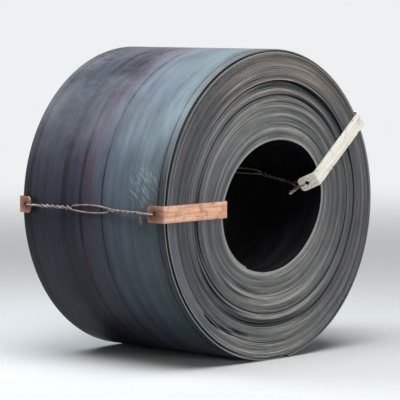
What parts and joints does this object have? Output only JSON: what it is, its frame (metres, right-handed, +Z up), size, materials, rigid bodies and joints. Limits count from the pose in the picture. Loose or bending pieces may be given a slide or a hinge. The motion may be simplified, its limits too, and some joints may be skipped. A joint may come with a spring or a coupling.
{
  "type": "steel coil",
  "caption": "Coil of hot-rolled steel strip lying on its barrel, with an open bore, tied through the bore with bent flat-bar saddle plates and doubled wire.",
  "frame": {"origin": "on the floor, straight under the bore's axis, halfway along the coil's width", "axes": "+Z up; +Y along the bore's axis, from the front end towards the back end; +X to the right as seen from the front"},
  "size_m": [1.1726, 0.74, 1.1394],
  "materials": {
    "strip_steel": "hot-rolled mill scale, blue-grey and satin on the barrel, sheared grey edges with light dust and rust on the ends",
    "tan_plate": "matt salmon-tan primer, rubbed and dusty",
    "cream_plate": "matt cream-white primer, rubbed and dusty",
    "tie_wire": "annealed rod, brown with surface rust"
  },
  "bodies": {
    "root": {"coil": "strip_steel", "tie_plate_front_left": "tan_plate", "tie_plate_front_right": "cream_plate", "tie_plate_back_left": "tan_plate", "tie_plate_back_right": "cream_plate", "outer_wire_left": "tie_wire", "outer_wire_right": "tie_wire", "bore_wire_left": "tie_wire", "bore_wire_right": "tie_wire"}
  },
  "joints": []
}
